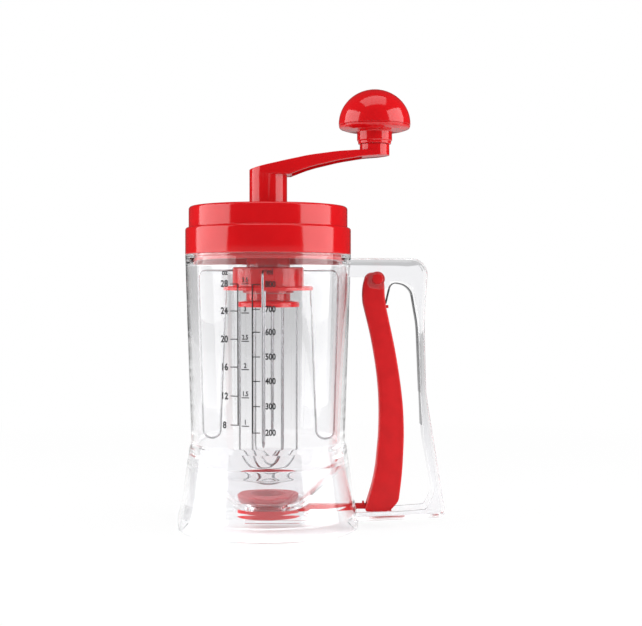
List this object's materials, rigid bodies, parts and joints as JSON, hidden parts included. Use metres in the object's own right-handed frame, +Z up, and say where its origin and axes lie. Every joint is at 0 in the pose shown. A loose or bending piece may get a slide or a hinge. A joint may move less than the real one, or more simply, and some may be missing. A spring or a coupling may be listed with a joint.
{
  "type": "pancake batter dispenser",
  "caption": "Hand-held batter dispenser: clear jug on a skirt, red screw lid with a crank mixer, and a trigger that slides a valve open under the hopper.",
  "frame": {"origin": "on the base plane under the middle of the whole object's box, 26.4 mm from the barrel axis towards the handle", "axes": "+Z up along the barrel axis, +X from the barrel towards the handle and the resting crank knob"},
  "size_m": [0.1642, 0.1114, 0.2708],
  "materials": {
    "clear_plastic": "clear moulded plastic, polished",
    "red_gloss": "red plastic, glossy as moulded",
    "red_satin": "red plastic, satin as moulded",
    "red_silicone": "soft red silicone, matt",
    "stainless_wire": "drawn stainless wire, bright",
    "spring_steel": "rolled spring steel strip, bright",
    "shaft_steel": "turned stainless steel",
    "gear_nylon": "natural nylon, matt"
  },
  "bodies": {
    "container": {"container": "clear_plastic", "handle": "clear_plastic", "outlet_seal": "red_silicone", "trigger_pin": "shaft_steel", "leaf_spring": "spring_steel"},
    "lid_seal": {"lid_gasket": "red_silicone"},
    "lid": {"lid": "red_gloss", "gear_carrier": "gear_nylon", "carrier_screws": "shaft_steel"},
    "crank": {"crank_arm": "red_gloss", "crank_shaft": "shaft_steel", "sun_gear": "gear_nylon", "knob_pin": "shaft_steel", "whisk_hub": "red_gloss", "whisk_disc": "red_gloss", "whisk_loop_1": "stainless_wire", "whisk_loop_2": "stainless_wire", "whisk_loop_3": "stainless_wire"},
    "knob": {"knob": "red_gloss"},
    "beater": {"ring_drum": "red_gloss", "drum_cover": "red_gloss", "beater_flange": "red_gloss", "outer_loop_1": "stainless_wire", "outer_loop_2": "stainless_wire", "outer_loop_3": "stainless_wire", "outer_loop_4": "stainless_wire"},
    "planet_1": {"planet_gear_1": "gear_nylon"},
    "planet_2": {"planet_gear_2": "gear_nylon"},
    "planet_3": {"planet_gear_3": "gear_nylon"},
    "trigger": {"trigger": "red_satin"},
    "valve": {"valve_disc": "red_satin", "valve_rod": "red_satin"}
  },
  "joints": [
    {"name": "lid_lift", "type": "slide", "parent": "container", "child": "lid_seal", "axis": [0, 0, 1], "range_m": [0, 0.16]},
    {"name": "lid_turn", "type": "hinge", "parent": "lid_seal", "child": "lid", "pos_m": [-0.02642, 0, 0], "axis": [0, 0, 1], "range_deg": [0, 270]},
    {"name": "crank_spin", "type": "hinge", "parent": "lid", "child": "crank", "pos_m": [-0.02642, 0, 0], "axis": [0, 0, 1], "continuous": true},
    {"name": "knob_spin", "type": "hinge", "parent": "crank", "child": "knob", "pos_m": [0.03948, 0, 0], "axis": [0, 0, 1], "continuous": true},
    {"name": "beater_spin", "type": "hinge", "parent": "lid", "child": "beater", "pos_m": [-0.02642, 0, 0], "axis": [0, 0, 1], "continuous": true},
    {"name": "planet_spin_1", "type": "hinge", "parent": "lid", "child": "planet_1", "pos_m": [-0.01442, 0, 0], "axis": [0, 0, 1], "continuous": true},
    {"name": "planet_spin_2", "type": "hinge", "parent": "lid", "child": "planet_2", "pos_m": [-0.03242, 0.01039, 0], "axis": [0, 0, 1], "continuous": true},
    {"name": "planet_spin_3", "type": "hinge", "parent": "lid", "child": "planet_3", "pos_m": [-0.03242, -0.01039, 0], "axis": [0, 0, 1], "continuous": true},
    {"name": "trigger_pull", "type": "hinge", "parent": "container", "child": "trigger", "pos_m": [0.04078, 0, 0.1533], "axis": [0, -1, 0], "range_deg": [0, 7], "stiffness_Nm_per_rad": 0.6, "springref_deg": -20.05, "deforming": ["leaf_spring"]},
    {"name": "valve_slide", "type": "slide", "parent": "container", "child": "valve", "axis": [1, 0, 0], "range_m": [0, 0.0172]}
  ],
  "couplings": [
    {"joint": "beater_spin", "follows": "crank_spin", "ratio": -0.33333},
    {"joint": "planet_spin_1", "follows": "crank_spin", "ratio": -1},
    {"joint": "planet_spin_2", "follows": "crank_spin", "ratio": -1},
    {"joint": "planet_spin_3", "follows": "crank_spin", "ratio": -1},
    {"joint": "valve_slide", "follows": "trigger_pull", "m_per_rad": 0.1405}
  ]
}
